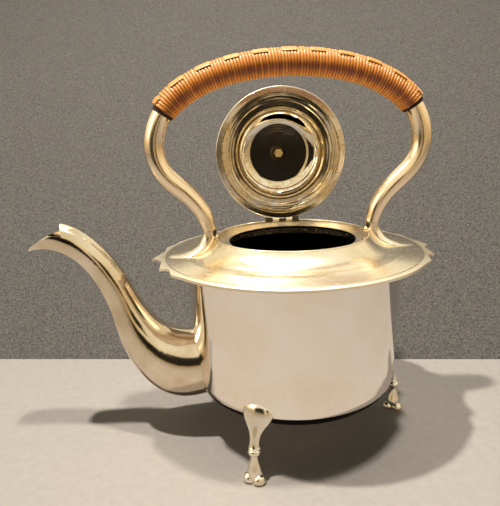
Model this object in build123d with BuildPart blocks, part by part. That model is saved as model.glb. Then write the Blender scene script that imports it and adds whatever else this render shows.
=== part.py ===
from build123d import *
import math
import os

# Spirit kettle in silver plate: a round bowl on three cast feet, with a shaped shoulder, a swan-neck
# spout, a fixed overhead handle wrapped in cane and a hinged lid that stands open.
# Frame: origin on the bowl's axis at table height, +Z up, spout towards -X, lid hinge towards +Y.

# ------------------------------------------------------------------ driving sizes (mm, degrees)
# Bowl
bowl_radius = 57.6
bowl_flare = 3.9
bowl_underside_z = 24.0
bowl_corner_reach = 17.5
bowl_corner_rise = 13.5
bowl_sheet = 1.2

# Shoulder: a cove that runs out into a shaped brim
brim_radius = 74.6
brim_edge_z = 107.6
brim_slope = 0.06
brim_sheet = 1.3
droop_radius = 70.0
droop = 2.2
cove_reach = 12.0
cove_top_z = 116.4
tip_radius = 79.8
brim_margin = 3.0
notch_bulge = 1.0
plain_angle = 36.0
tip_valley = (9.0, 74.0)
outer_cusp = (18.5, 77.0)
outer_valley = (23.0, 73.4)
inner_cusp = (29.0, 75.8)

# Mouth collar with the ledge that the lid drops onto
collar_radius = 43.4
collar_wall = 1.4
collar_top_z = 117.1
collar_depth = 9.0
ledge_drop = 3.1
ledge_sheet = 1.2
ledge_width = 6.6

# Spout: each station is the lower and the upper point of one section, then its half width
spout_stations = [
    ((-44.0, 24.5), (-44.0, 63.5), 19.0),
    ((-62.0, 22.4), (-60.5, 63.0), 18.8),
    ((-77.3, 25.4), (-70.5, 64.8), 17.2),
    ((-91.1, 38.0), (-78.0, 69.9), 14.4),
    ((-99.4, 54.0), (-82.3, 75.0), 11.8),
    ((-105.1, 76.0), (-88.7, 85.8), 9.3),
    ((-111.5, 93.6), (-97.0, 102.4), 8.3),
    ((-120.6, 106.9), (-108.6, 117.6), 8.0),
    ((-130.2, 113.3), (-121.0, 127.0), 8.0),
    ((-139.5, 115.1), (-134.0, 130.4), 7.8),
    ((-147.6, 112.6), (-147.6, 127.4), 7.0),
]
spout_sheet = 1.1
spout_brow = (-126.9, 128.8)
spout_notch = (-125.4, 122.7)
spout_lip = [(-132.0, 123.2), (-138.8, 120.4), (-143.8, 116.9), (-145.6, 112.2)]
strainer_radius = 14.0
strainer_sheet = 0.8
strainer_hole_radius = 1.5
strainer_pitch = 4.6
strainer_z = 45.0
strainer_lap = 2.0
strainer_rings = 2
spout_clear = 15.0

# Feet
foot_angles = {"foot_tail": 2.0, "foot_rear": 122.0, "foot_front": 242.0}
foot_reach = 5.0
pad_lobe_radius = 3.3
pad_lobe_offset = 3.1
pad_height = 5.2
hoof_radius = 4.2
pad_chamfer = 1.2
pad_wide_z = 2.4
pad_lobe_angles = [60.0, 180.0, 300.0]
sole_radius = 3.6
ankle_radius = 2.1
ankle_z = 13.0
band_radius = 3.4
band_bottom_z = 15.2
band_height = 3.4
band_round = 0.8
groove_radius = 2.5
groove_height = 0.7
# Knee of the foot: rise above the groove, tuck towards the bowl, half depth and half width of each section
knee_stations = [
    (0.0, 0.2, 2.9, 3.2),
    (4.2, 1.5, 2.5, 2.8),
    (8.5, 3.6, 3.3, 4.5),
    (12.5, 5.8, 4.3, 7.4),
    (16.5, 7.0, 4.5, 8.5),
    (19.5, 7.4, 3.9, 7.2),
    (21.6, 8.0, 3.0, 4.4),
]

# Handle: centreline points of the right half, from the crown down to the socket
handle_crown_z = 208.6
handle_haunch = (34.0, 204.5)
handle_hip = (59.8, 192.6)
handle_elbow = (73.2, 168.5)
handle_calf = (66.0, 149.8)
shin_length = 12.8
socket_reach = 2.9
socket_z = 121.4
leg_radius = 5.4
socket_radius = 4.1
crown_core_radius = 4.6
grip_radius = 7.1
grip_fit = 0.05
binding_radius = 6.2
binding_width = 1.8
grip_length = 11.8
leg_steps = 10
taper_start = 0.6
strand_width = 8.0
strand_height = 0.6

# Leaf from each handle socket onto the brim: reach from the collar and height of each section's centre,
# then the section's half height, half width and slope
leaf_stations = [
    (3.6, 116.6, 3.9, 4.2, -72.0),
    (6.2, 112.4, 3.5, 5.4, -48.0),
    (11.0, 109.4, 2.7, 8.2, -18.0),
    (17.1, 108.0, 2.1, 9.8, -6.0),
    (22.6, 107.5, 1.7, 8.8, -5.0),
    (27.4, 107.0, 0.9, 4.0, -6.0),
]
bead_radius = 1.9
bead_reach = 0.3
bead_z = 117.0

# Lid, given as it lies when shut
lid_gap = 1.6
lid_seat_gap = 0.1
lid_sheet = 1.0
lid_flange = 3.4
lid_step_count = 3
lid_step_width = 2.4
lid_step_rise = 0.9
lid_step_run = 0.7
dome_rise = 12.6
dome_corner_reach = 11.4
crown_sag = 0.8
lid_open_angle = 91.0
bezel_gap = 0.5
bezel_sheet = 0.9
bezel_depth = 3.0

# Finial and the nut that holds it
finial_foot_radius = 6.2
finial_foot_height = 2.2
finial_foot_edge = 0.5
finial_neck_radius = 3.0
finial_neck_flare = 0.8
finial_waist_share = 0.3
finial_radius = 8.0
finial_height = 14.0
finial_cap_rise = 3.6
finial_rim = 1.6
screw_radius = 1.2
screw_fit = 0.05
screw_reach = 8.0
washer_radius = 4.8
washer_sheet = 0.8
nut_flats = 4.8
nut_height = 2.4
screw_tail = 0.8
finial_bed = 0.7
washer_dish = 0.1

# Lid hinge
hinge_inset = 1.9
hinge_z = 117.6
hinge_width = 21.0
knuckle_count = 5
knuckle_gap = 0.2
knuckle_radius = 1.7
pin_radius = 0.75
pin_fit = 0.05
hinge_clearance = 0.3
leaf_sheet = 0.8
plate_sheet = 1.2
plate_bed = 1.0

# ------------------------------------------------------------------ derived places
collar_bore = collar_radius - collar_wall
mouth_radius = collar_bore - ledge_width
cove_radius = collar_radius + cove_reach
lid_radius = collar_bore - lid_gap
lid_step_radii = [lid_radius - lid_flange - lid_step_width * step for step in range(lid_step_count)]
dome_radius = lid_step_radii[-1] - lid_step_width
bezel_radius = mouth_radius - bezel_gap
hinge_y = collar_radius - hinge_inset
foot_radius = bowl_radius + foot_reach
plate_bottom_z = cove_top_z - plate_bed
cove_foot_z = brim_edge_z + brim_slope * (brim_radius - cove_radius)
bowl_mouth_radius = bowl_radius + bowl_flare
bowl_top_z = brim_edge_z + brim_slope * (brim_radius - bowl_mouth_radius) - brim_sheet
ledge_z = collar_top_z - ledge_drop
lid_bottom_z = ledge_z + lid_seat_gap
lid_crest_z = lid_bottom_z + lid_sheet + lid_step_rise * lid_step_count
dome_top_z = lid_crest_z + dome_rise
hinge_axis = Axis((0, hinge_y, hinge_z), (1, 0, 0))
band_top_z = band_bottom_z + band_height
shank_bottom_z = band_top_z + groove_height
finial_seat_z = dome_top_z - finial_bed
finial_foot_z = dome_top_z + finial_foot_height
finial_rim_z = dome_top_z + finial_foot_edge
washer_z = dome_top_z - lid_sheet - washer_dish - washer_sheet
knuckle_length = (hinge_width - knuckle_gap * (knuckle_count - 1)) / knuckle_count


def section_plane(point, slope):
    """Plane across a centreline in the XZ plane, at the point, for a run at the given slope."""
    run = math.radians(slope)
    normal = (math.cos(run), 0, math.sin(run))
    return Plane(origin=(point[0], 0, point[1]), x_dir=(0, 1, 0), z_dir=normal)


def polar(angle, radius):
    """Point of the brim outline at an angle from the nearer tip."""
    turn = math.radians(angle)
    return (radius * math.cos(turn), radius * math.sin(turn))


# ------------------------------------------------------------------ bowl
def bowl(inset):
    """Solid of the bowl, its surface moved in by the inset."""
    with BuildPart() as solid:
        with BuildSketch(Plane.XZ):
            with BuildLine():
                floor_z = bowl_underside_z + inset
                corner_x = bowl_radius - bowl_corner_reach
                corner_z = bowl_underside_z + bowl_corner_rise
                Line((0, floor_z), (corner_x, floor_z))
                EllipticalCenterArc(
                    (corner_x, corner_z),
                    bowl_corner_reach - inset,
                    bowl_corner_rise - inset,
                    start_angle=270,
                    arc_size=90,
                )
                Polyline(
                    (bowl_radius - inset, corner_z),
                    (bowl_mouth_radius - inset, bowl_top_z),
                    (0, bowl_top_z),
                    (0, floor_z),
                )
            make_face()
        revolve(axis=Axis.Z)
    return solid.part


bowl_outside = bowl(0)
bowl_inside = bowl(bowl_sheet)

with BuildPart() as kettle_body:
    add(bowl_outside)
    add(bowl_inside, mode=Mode.SUBTRACT)
    with BuildSketch(Plane.YZ.offset(-bowl_mouth_radius)):
        with Locations((0, strainer_z)):
            Circle(strainer_radius)
    extrude(amount=bowl_radius, mode=Mode.SUBTRACT)

# ------------------------------------------------------------------ shoulder and brim
def shoulder(depth):
    """Solid under the shoulder's upper surface, as deep as asked."""
    outside = tip_radius + brim_margin
    droop_z = brim_edge_z + brim_slope * (brim_radius - droop_radius)
    outside_z = brim_edge_z + brim_slope * (brim_radius - outside) - droop
    with BuildPart() as solid:
        with BuildSketch(Plane.XZ):
            with BuildLine():
                top = Line((droop_radius, droop_z), (cove_radius, cove_foot_z))
                TangentArc(top @ 1, (collar_radius, cove_top_z), tangent=top % 1)
                TangentArc(top @ 0, (outside, outside_z), tangent=(top % 0) * -1)
                Line((collar_radius, cove_top_z), (collar_radius, cove_top_z - depth))
                TangentArc(
                    (cove_radius, cove_foot_z - depth),
                    (collar_radius, cove_top_z - depth),
                    tangent=top % 1,
                )
                under = Line((cove_radius, cove_foot_z - depth), (droop_radius, droop_z - depth))
                TangentArc(under @ 1, (outside, outside_z - depth), tangent=under % 1)
                Line((outside, outside_z - depth), (outside, outside_z))
            make_face()
        revolve(axis=Axis.Z)
    return solid.part


with BuildSketch() as brim_outline:
    with BuildLine():
        tip_sweep = (tip_valley[0] / 2, (tip_radius + 2 * tip_valley[1]) / 3)
        notch_sweep = ((outer_cusp[0] + outer_valley[0]) / 2, outer_valley[1] + notch_bulge)
        cusp_sweep = ((inner_cusp[0] + plain_angle) / 2, (inner_cusp[1] + brim_radius) / 2)
        ThreePointArc((tip_radius, 0), polar(*tip_sweep), polar(*tip_valley))
        Line(polar(*tip_valley), polar(*outer_cusp))
        ThreePointArc(polar(*outer_cusp), polar(*notch_sweep), polar(*outer_valley))
        Line(polar(*outer_valley), polar(*inner_cusp))
        ThreePointArc(polar(*inner_cusp), polar(*cusp_sweep), polar(plain_angle, brim_radius))
        CenterArc((0, 0), brim_radius, plain_angle, 90 - plain_angle)
        mirror(about=Plane.YZ)
        mirror(about=Plane.XZ)
    make_face()

with BuildPart() as shoulder_brim:
    add(brim_outline.sketch)
    extrude(amount=collar_top_z)
    add(shoulder(brim_sheet), mode=Mode.INTERSECT)

# ------------------------------------------------------------------ mouth collar
with BuildPart() as mouth_collar:
    wall_foot_z = collar_top_z - collar_depth
    with BuildSketch(Plane.XZ) as collar_section:
        with BuildLine():
            Polyline(
                (collar_radius, wall_foot_z),
                (collar_radius, collar_top_z),
                (collar_bore, collar_top_z),
                (collar_bore, ledge_z),
                (mouth_radius, ledge_z),
                (mouth_radius, ledge_z - ledge_sheet),
                (collar_bore, ledge_z - ledge_sheet),
                (collar_bore, wall_foot_z),
                close=True,
            )
        make_face()
        fillet(collar_section.vertices().group_by(Axis.Y)[-1], collar_wall * 0.4)
    revolve(axis=Axis.Z)
    with BuildSketch(Plane.XZ.offset(-hinge_y)):
        with Locations((0, hinge_z)):
            Rectangle(hinge_width + 2 * hinge_clearance, 2 * (knuckle_radius + hinge_clearance))
    extrude(amount=knuckle_radius + hinge_clearance, both=True, mode=Mode.SUBTRACT)


# ------------------------------------------------------------------ spout
def swan_neck(inset):
    """Solid of the spout before it is trimmed, its surface moved in by the inset."""
    with BuildPart() as solid:
        for lower, upper, half_width in spout_stations:
            height = math.dist(lower, upper)
            rise = ((upper[0] - lower[0]) / height, (upper[1] - lower[1]) / height)
            middle = ((lower[0] + upper[0]) / 2, 0, (lower[1] + upper[1]) / 2)
            station = Plane(origin=middle, x_dir=(0, 1, 0), z_dir=(-rise[1], 0, rise[0]))
            with BuildSketch(station):
                Ellipse(half_width - inset, height / 2 - inset)
        loft()
    return solid.part


with BuildPart() as spout:
    add(swan_neck(0))
    add(swan_neck(spout_sheet), mode=Mode.SUBTRACT)
    add(bowl_outside, mode=Mode.SUBTRACT)
    with BuildSketch(Plane.XZ):
        with BuildLine():
            lip_line = Spline(spout_notch, *spout_lip)
            clear_x = spout_lip[-1][0] - spout_clear
            clear_z = spout_brow[1] + spout_clear
            Polyline(
                lip_line @ 1,
                (clear_x, spout_lip[-1][1]),
                (clear_x, clear_z),
                (spout_brow[0], clear_z),
                spout_brow,
                spout_notch,
            )
        make_face()
    extrude(amount=bowl_radius, both=True, mode=Mode.SUBTRACT)

with BuildPart() as spout_strainer:
    add(bowl(-strainer_sheet))
    add(bowl_outside, mode=Mode.SUBTRACT)
    with BuildSketch(Plane.YZ.offset(-bowl_radius / 2)):
        with Locations((0, strainer_z)):
            Circle(strainer_radius + strainer_lap)
    extrude(amount=-bowl_radius, mode=Mode.INTERSECT)
    with BuildSketch(Plane.YZ.offset(-bowl_radius / 2)):
        with Locations((0, strainer_z)):
            Circle(strainer_hole_radius)
            for ring in range(1, strainer_rings + 1):
                with PolarLocations(ring * strainer_pitch, 6 * ring):
                    Circle(strainer_hole_radius)
    extrude(amount=-bowl_radius, mode=Mode.SUBTRACT)


# ------------------------------------------------------------------ feet
def foot_knee():
    """The flared upper part of the foot on the +X side, down to its groove."""
    with BuildPart() as knee:
        for rise, tuck, half_depth, half_width in knee_stations:
            with BuildSketch(Plane((foot_radius - tuck, 0, shank_bottom_z + rise))):
                Ellipse(half_depth, half_width)
        loft()
    return knee.part


def foot_post():
    """The turned part of the foot on the +X side: groove, band, ankle and the middle of the pad."""
    band_shoulder_x = foot_radius + band_radius - band_round
    sole_x = foot_radius + sole_radius
    with BuildPart() as post:
        with BuildSketch(Plane.XZ):
            with BuildLine():
                Polyline(
                    (foot_radius, shank_bottom_z),
                    (foot_radius + groove_radius, shank_bottom_z),
                    (foot_radius + groove_radius, band_top_z),
                    (band_shoulder_x, band_top_z),
                )
                ThreePointArc(
                    (band_shoulder_x, band_top_z),
                    (foot_radius + band_radius, (band_top_z + band_bottom_z) / 2),
                    (band_shoulder_x, band_bottom_z),
                )
                Spline(
                    (band_shoulder_x, band_bottom_z),
                    (foot_radius + ankle_radius, ankle_z),
                    (foot_radius + hoof_radius, pad_height),
                    (sole_x, 0),
                    tangents=[(-1, -0.2), (0, -1)],
                )
                Polyline((sole_x, 0), (foot_radius, 0), (foot_radius, shank_bottom_z))
            make_face()
        revolve(axis=Axis((foot_radius, 0, 0), (0, 0, 1)))
    return post.part


def pad_lobe(lobe_angle):
    """One of the three rounded lobes under the foot on the +X side."""
    turn = math.radians(lobe_angle)
    centre = (foot_radius + pad_lobe_offset * math.cos(turn), pad_lobe_offset * math.sin(turn), 0)
    with BuildPart() as lobe:
        with BuildSketch(Plane(centre, x_dir=(1, 0, 0), z_dir=(0, -1, 0))):
            with BuildLine():
                Polyline(
                    (0, pad_height),
                    (0, 0),
                    (pad_lobe_radius - pad_chamfer, 0),
                    (pad_lobe_radius, pad_chamfer),
                    (pad_lobe_radius, pad_wide_z),
                )
                TangentArc((0, pad_height), (pad_lobe_radius, pad_wide_z), tangent=(1, 0))
            make_face()
        revolve(axis=Axis(centre, (0, 0, 1)))
    return lobe.part


with BuildPart() as foot_on_x:
    add(foot_knee())
    add(foot_post())
    for lobe_angle in pad_lobe_angles:
        add(pad_lobe(lobe_angle))
    add(bowl_outside, mode=Mode.SUBTRACT)

feet = {name: foot_on_x.part.rotate(Axis.Z, angle) for name, angle in foot_angles.items()}

# ------------------------------------------------------------------ handle
with BuildLine() as half_handle:
    crown_arc = TangentArc((0, handle_crown_z), handle_haunch, tangent=(1, 0))
    hip_arc = TangentArc(crown_arc @ 1, handle_hip, tangent=crown_arc % 1)
    elbow_arc = TangentArc(hip_arc @ 1, handle_elbow, tangent=hip_arc % 1)
    calf_arc = TangentArc(elbow_arc @ 1, handle_calf, tangent=elbow_arc % 1)
    shin = PolarLine(calf_arc @ 1, shin_length, direction=calf_arc % 1)
    heel_arc = TangentArc(shin @ 1, (collar_radius + socket_reach, socket_z), tangent=shin % 1)

grip_stop = grip_length / elbow_arc.length
wrap_stop = (grip_length - binding_width) / elbow_arc.length
leg_path = Wire([elbow_arc.trim(grip_stop, 1), calf_arc.edge(), shin.edge(), heel_arc.edge()])
crown_path = Wire([crown_arc.edge(), hip_arc.edge(), elbow_arc.trim(0, grip_stop)])
wrap_path = Wire([crown_arc.edge(), hip_arc.edge(), elbow_arc.trim(0, wrap_stop)])
binding_path = Wire([elbow_arc.trim(wrap_stop, grip_stop)])


def across(path, share):
    """Plane across a path drawn flat and stood up in the XZ plane, at a share of its length."""
    point = path @ share
    run = path % share
    return Plane(origin=(point.X, 0, point.Y), x_dir=(0, 1, 0), z_dir=(run.X, 0, run.Y))


def stand(path):
    """The same path stood up in the XZ plane."""
    return Plane.XZ.from_local_coords(path)


with BuildPart() as handle_frame:
    for step in range(leg_steps + 1):
        share = step / leg_steps
        taper = max(0.0, (share - taper_start) / (1 - taper_start))
        with BuildSketch(across(leg_path, share)):
            Circle(leg_radius + (socket_radius - leg_radius) * taper)
    loft()
    with BuildSketch(across(crown_path, 0)):
        Circle(crown_core_radius)
    sweep(path=stand(crown_path))
    mirror(about=Plane.YZ)

with BuildPart() as cane_wrap:
    with BuildSketch(across(wrap_path, 0)):
        Circle(grip_radius)
        Circle(crown_core_radius + grip_fit, mode=Mode.SUBTRACT)
    sweep(path=stand(wrap_path))
    mirror(about=Plane.YZ)

with BuildPart() as cane_strand:
    with BuildSketch(across(wrap_path, 0)):
        Circle(grip_radius + strand_height)
        Circle(grip_radius + grip_fit, mode=Mode.SUBTRACT)
        with Locations((0, grip_radius)):
            Rectangle(strand_width, grip_radius, mode=Mode.INTERSECT)
    sweep(path=stand(wrap_path))
    mirror(about=Plane.YZ)

with BuildPart() as binding_on_tail_side:
    with BuildSketch(across(binding_path, 0)):
        Circle(binding_radius)
        Circle(crown_core_radius + grip_fit, mode=Mode.SUBTRACT)
    sweep(path=stand(binding_path))

with BuildPart() as leaf_on_tail_side:
    with BuildSketch(across(leg_path, 1)):
        Circle(socket_radius)
    for reach, height, half_height, half_width, slope in leaf_stations:
        with BuildSketch(section_plane((collar_radius + reach, height), slope)):
            Ellipse(half_width, half_height)
    loft()
    add(shoulder(collar_top_z), mode=Mode.SUBTRACT)
    add(mouth_collar.part, mode=Mode.SUBTRACT)

with BuildPart() as bead_on_tail_side:
    with Locations((collar_radius - bead_reach, 0, bead_z)):
        Sphere(bead_radius)
    add(leaf_on_tail_side.part, mode=Mode.SUBTRACT)
    add(mouth_collar.part, mode=Mode.SUBTRACT)
    add(shoulder(collar_top_z), mode=Mode.SUBTRACT)

handle_pairs = {
    "handle_leaf": leaf_on_tail_side.part,
    "solder_bead": bead_on_tail_side.part,
    "cane_binding": binding_on_tail_side.part,
}

# ------------------------------------------------------------------ lid, built shut
def lid_skin(drop):
    """Upper surface of the lid's half section, lowered by the drop."""
    crown_end = (dome_radius - dome_corner_reach, dome_top_z - crown_sag - drop)
    crown = TangentArc((0, dome_top_z - drop), crown_end, tangent=(1, 0))
    TangentArc(crown @ 1, (dome_radius - drop, lid_crest_z - drop), tangent=crown % 1)
    corners = [(dome_radius - drop, lid_crest_z - drop)]
    for count, step_radius in enumerate(reversed(lid_step_radii)):
        step_z = lid_crest_z - drop - lid_step_rise * count
        corners += [(step_radius - lid_step_run, step_z), (step_radius, step_z - lid_step_rise)]
    Polyline(*corners, (lid_radius, lid_bottom_z + lid_sheet - drop))


with BuildPart() as lid_cover:
    with BuildSketch(Plane.XZ) as lid_section:
        with BuildLine():
            lid_skin(0)
            lid_skin(lid_sheet)
            Line((0, dome_top_z), (0, dome_top_z - lid_sheet))
            Line((lid_radius, lid_bottom_z), (lid_radius, lid_bottom_z + lid_sheet))
        make_face()
        fillet(lid_section.vertices().group_by(Axis.X)[-1], lid_sheet * 0.4)
    revolve(axis=Axis.Z)
    with BuildSketch(Plane.XY.offset(lid_bottom_z)):
        Circle(screw_radius + screw_fit)
    extrude(amount=dome_top_z, mode=Mode.SUBTRACT)

with BuildPart() as lid_bezel:
    with BuildSketch(Plane.XY.offset(lid_bottom_z - bezel_depth)):
        Circle(bezel_radius)
        Circle(bezel_radius - bezel_sheet, mode=Mode.SUBTRACT)
    extrude(amount=bezel_depth + lid_step_rise)
    add(lid_cover.part, mode=Mode.SUBTRACT)

# ------------------------------------------------------------------ finial and its fixing, built shut
with BuildPart() as finial_foot:
    with BuildSketch(Plane.XZ):
        with BuildLine():
            Polyline(
                (screw_radius + screw_fit, finial_seat_z),
                (screw_radius + screw_fit, finial_foot_z),
                (finial_neck_radius + finial_neck_flare, finial_foot_z),
            )
            TangentArc(
                (finial_neck_radius + finial_neck_flare, finial_foot_z),
                (finial_foot_radius, finial_rim_z),
                tangent=(0, -1),
            )
            Polyline(
                (finial_foot_radius, finial_rim_z),
                (finial_foot_radius, finial_seat_z),
                (screw_radius + screw_fit, finial_seat_z),
            )
        make_face()
    revolve(axis=Axis.Z)
    add(lid_cover.part, mode=Mode.SUBTRACT)

with BuildPart() as lid_finial:
    with BuildSketch(Plane.XZ) as finial_section:
        with BuildLine():
            finial_top_z = finial_foot_z + finial_height
            cap_z = finial_top_z - finial_cap_rise
            waist_z = finial_foot_z + finial_height * finial_waist_share
            TangentArc((0, finial_top_z), (finial_radius, cap_z), tangent=(1, 0))
            Line((finial_radius, cap_z), (finial_radius, cap_z - finial_rim))
            Spline(
                (finial_radius, cap_z - finial_rim),
                (finial_neck_radius + finial_neck_flare / 2, waist_z),
                (finial_neck_radius, finial_foot_z),
                tangents=[(-1, -0.3), (0, -1)],
            )
            Polyline((finial_neck_radius, finial_foot_z), (0, finial_foot_z), (0, finial_top_z))
        make_face()
        fillet(finial_section.vertices().group_by(Axis.X)[-1], finial_rim * 0.45)
    revolve(axis=Axis.Z)
    with BuildSketch(Plane.XY.offset(finial_foot_z)):
        Circle(screw_radius + screw_fit)
    extrude(amount=screw_reach, mode=Mode.SUBTRACT)

with BuildPart() as finial_washer:
    with BuildSketch(Plane.XY.offset(washer_z)):
        Circle(washer_radius)
        Circle(screw_radius + screw_fit, mode=Mode.SUBTRACT)
    extrude(amount=washer_sheet + washer_dish)
    add(lid_cover.part, mode=Mode.SUBTRACT)

with BuildPart() as finial_nut:
    with BuildSketch(Plane.XY.offset(washer_z - nut_height)):
        RegularPolygon(nut_flats / 2, 6, major_radius=False)
        Circle(screw_radius + screw_fit, mode=Mode.SUBTRACT)
    extrude(amount=nut_height)

with BuildPart() as finial_screw:
    with BuildSketch(Plane.XY.offset(washer_z - nut_height - screw_tail)):
        Circle(screw_radius)
    extrude(amount=finial_foot_z + screw_reach - washer_z + nut_height + screw_tail)


# ------------------------------------------------------------------ hinge, built shut
def knuckle_span(place):
    """Plane at the start of one knuckle, looking along the pin."""
    return Plane.YZ.offset(place * (knuckle_length + knuckle_gap) - hinge_width / 2)


fixed_places = range(0, knuckle_count, 2)
lid_places = range(1, knuckle_count, 2)

with BuildPart() as hinge_plate:
    plate_front = hinge_y
    plate_back = collar_radius + plate_sheet
    with BuildSketch(Plane.YZ.offset(-hinge_width / 2)):
        with BuildLine():
            Polyline(
                (plate_front, plate_bottom_z),
                (plate_back, plate_bottom_z),
                (plate_back, hinge_z + knuckle_radius / 2),
                (plate_front, hinge_z + knuckle_radius / 2),
                close=True,
            )
        make_face()
    extrude(amount=hinge_width)
    with BuildSketch(Plane.XY.offset(plate_bottom_z)):
        Circle(collar_radius)
    extrude(amount=hinge_z, mode=Mode.SUBTRACT)
    for place in lid_places:
        with BuildSketch(knuckle_span(place).offset(-knuckle_gap)):
            with Locations((hinge_y, hinge_z)):
                Circle(knuckle_radius + hinge_clearance)
        extrude(amount=knuckle_length + 2 * knuckle_gap, mode=Mode.SUBTRACT)
    for place in fixed_places:
        with BuildSketch(knuckle_span(place)):
            with Locations((hinge_y, hinge_z)):
                Circle(knuckle_radius)
            with BuildLine():
                Polyline(
                    (hinge_y, hinge_z - knuckle_radius),
                    (plate_back, hinge_z - knuckle_radius),
                    (plate_back, hinge_z + knuckle_radius / 2),
                    (hinge_y, hinge_z + knuckle_radius),
                    close=True,
                )
            make_face()
        extrude(amount=knuckle_length)
    with BuildSketch(Plane.YZ.offset(-hinge_width / 2)):
        with Locations((hinge_y, hinge_z)):
            Circle(pin_radius + pin_fit)
    extrude(amount=hinge_width, mode=Mode.SUBTRACT)
    add(mouth_collar.part, mode=Mode.SUBTRACT)
    add(shoulder_brim.part, mode=Mode.SUBTRACT)

with BuildPart() as hinge_pin:
    with BuildSketch(Plane.YZ.offset(-hinge_width / 2)):
        with Locations((hinge_y, hinge_z)):
            Circle(pin_radius)
    extrude(amount=hinge_width)

with BuildPart() as lid_leaf:
    flange_z = lid_bottom_z + lid_sheet
    leaf_front = lid_step_radii[0] + hinge_clearance
    leaf_back = hinge_y - knuckle_radius - knuckle_gap
    with BuildSketch(Plane.XY.offset(flange_z)):
        with Locations((0, (leaf_front + leaf_back) / 2)):
            Rectangle(3 * knuckle_length + 2 * knuckle_gap, leaf_back - leaf_front)
    extrude(amount=leaf_sheet)
    for place in lid_places:
        with BuildSketch(knuckle_span(place)):
            with Locations((hinge_y, hinge_z)):
                Circle(knuckle_radius)
            with BuildLine():
                Polyline(
                    (leaf_front, flange_z),
                    (leaf_back, flange_z),
                    (hinge_y, hinge_z - knuckle_radius),
                    (hinge_y, hinge_z),
                    (leaf_back, hinge_z),
                    (leaf_front, flange_z + leaf_sheet),
                    close=True,
                )
            make_face()
        extrude(amount=knuckle_length)
    with BuildSketch(Plane.YZ.offset(-hinge_width / 2)):
        with Locations((hinge_y, hinge_z)):
            Circle(pin_radius + pin_fit)
    extrude(amount=hinge_width, mode=Mode.SUBTRACT)

# ------------------------------------------------------------------ label and write
def write(name, piece):
    """Label one piece and write it to its own file."""
    piece.label = name
    export_step(piece, f"parts/{name}.step")


fixed_pieces = {
    "kettle_body": kettle_body,
    "shoulder_brim": shoulder_brim,
    "mouth_collar": mouth_collar,
    "spout": spout,
    "spout_strainer": spout_strainer,
    "handle_frame": handle_frame,
    "cane_wrap": cane_wrap,
    "cane_strand": cane_strand,
    "hinge_plate": hinge_plate,
    "hinge_pin": hinge_pin,
}
lid_pieces = {
    "lid_cover": lid_cover,
    "lid_bezel": lid_bezel,
    "lid_leaf": lid_leaf,
    "finial_foot": finial_foot,
    "lid_finial": lid_finial,
    "finial_washer": finial_washer,
    "finial_nut": finial_nut,
    "finial_screw": finial_screw,
}

os.makedirs("parts", exist_ok=True)
for name, built in fixed_pieces.items():
    write(name, built.part)
for name, piece in feet.items():
    write(name, piece)
for name, piece in handle_pairs.items():
    write(f"{name}_tail_side", piece)
    write(f"{name}_spout_side", piece.mirror(Plane.YZ))
for name, built in lid_pieces.items():
    write(name, built.part.rotate(hinge_axis, -lid_open_angle))
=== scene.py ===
"""Visual model of a footed spirit kettle in silver plate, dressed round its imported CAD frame."""
import logging
import math
from dataclasses import dataclass
from enum import Enum

import bpy
import numpy as np
from bpy.types import Material, Mesh, Node, NodeSocket, NodeTree, Object
from mathutils import Matrix, Vector


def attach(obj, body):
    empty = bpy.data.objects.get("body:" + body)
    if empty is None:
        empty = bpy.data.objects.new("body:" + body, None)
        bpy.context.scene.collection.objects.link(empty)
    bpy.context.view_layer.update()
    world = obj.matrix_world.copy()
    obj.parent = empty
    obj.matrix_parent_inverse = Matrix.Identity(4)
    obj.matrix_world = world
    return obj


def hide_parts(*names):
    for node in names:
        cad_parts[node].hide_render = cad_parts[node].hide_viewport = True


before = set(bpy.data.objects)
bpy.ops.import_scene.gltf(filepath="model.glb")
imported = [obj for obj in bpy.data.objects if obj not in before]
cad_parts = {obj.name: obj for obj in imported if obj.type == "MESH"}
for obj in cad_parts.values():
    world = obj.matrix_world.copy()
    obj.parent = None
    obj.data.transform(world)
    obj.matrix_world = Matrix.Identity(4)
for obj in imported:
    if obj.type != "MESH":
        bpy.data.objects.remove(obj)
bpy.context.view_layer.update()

LOG = logging.getLogger("kettle")
MM = 0.001
SEED = 7


# ------------------------------------------------------------------ small helpers
def linear(hex_colour: str) -> tuple[float, float, float, float]:
    """Turn an sRGB hex colour into a linear one.

    Args:
        hex_colour: Six hex digits, with or without a leading hash.

    Returns:
        Linear red, green, blue and an alpha of one.
    """
    digits = hex_colour.lstrip("#")
    channels = [int(digits[start:start + 2], 16) / 255 for start in (0, 2, 4)]
    worked = [c / 12.92 if c <= 0.04045 else ((c + 0.055) / 1.055) ** 2.4 for c in channels]
    return (*worked, 1.0)


def add_node(tree: NodeTree, kind: str, links: dict | None = None, stops: tuple[tuple[float, str], ...] = (),
             **settings: object) -> Node:
    """Add one node with its settings, values and links.

    Args:
        tree: The node tree that the node goes into.
        kind: The node's type name.
        links: For each input, by name or number, an output socket to link or a plain value.
        stops: A colour ramp's pairs of position and sRGB hex colour, in rising order.
        **settings: The node's own properties.

    Returns:
        The new node.
    """
    made = tree.nodes.new(kind)
    for name, value in settings.items():
        setattr(made, name, value)
    for key, value in (links or {}).items():
        socket = made.inputs[key]
        if isinstance(value, NodeSocket):
            tree.links.new(value, socket)
        else:
            socket.default_value = value
    if stops:
        elements = made.color_ramp.elements
        while len(elements) < len(stops):
            elements.new(0.5)
        for element, (position, colour) in zip(elements, stops):
            element.position, element.color = position, linear(colour)
    return made


def new_material(name: str) -> tuple[Material, NodeTree]:
    """Start a material with an empty node tree.

    Args:
        name: The material's name.

    Returns:
        The material and its tree.
    """
    material = bpy.data.materials.new(name)
    material.use_nodes = True
    material.node_tree.nodes.clear()
    return material, material.node_tree


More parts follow.
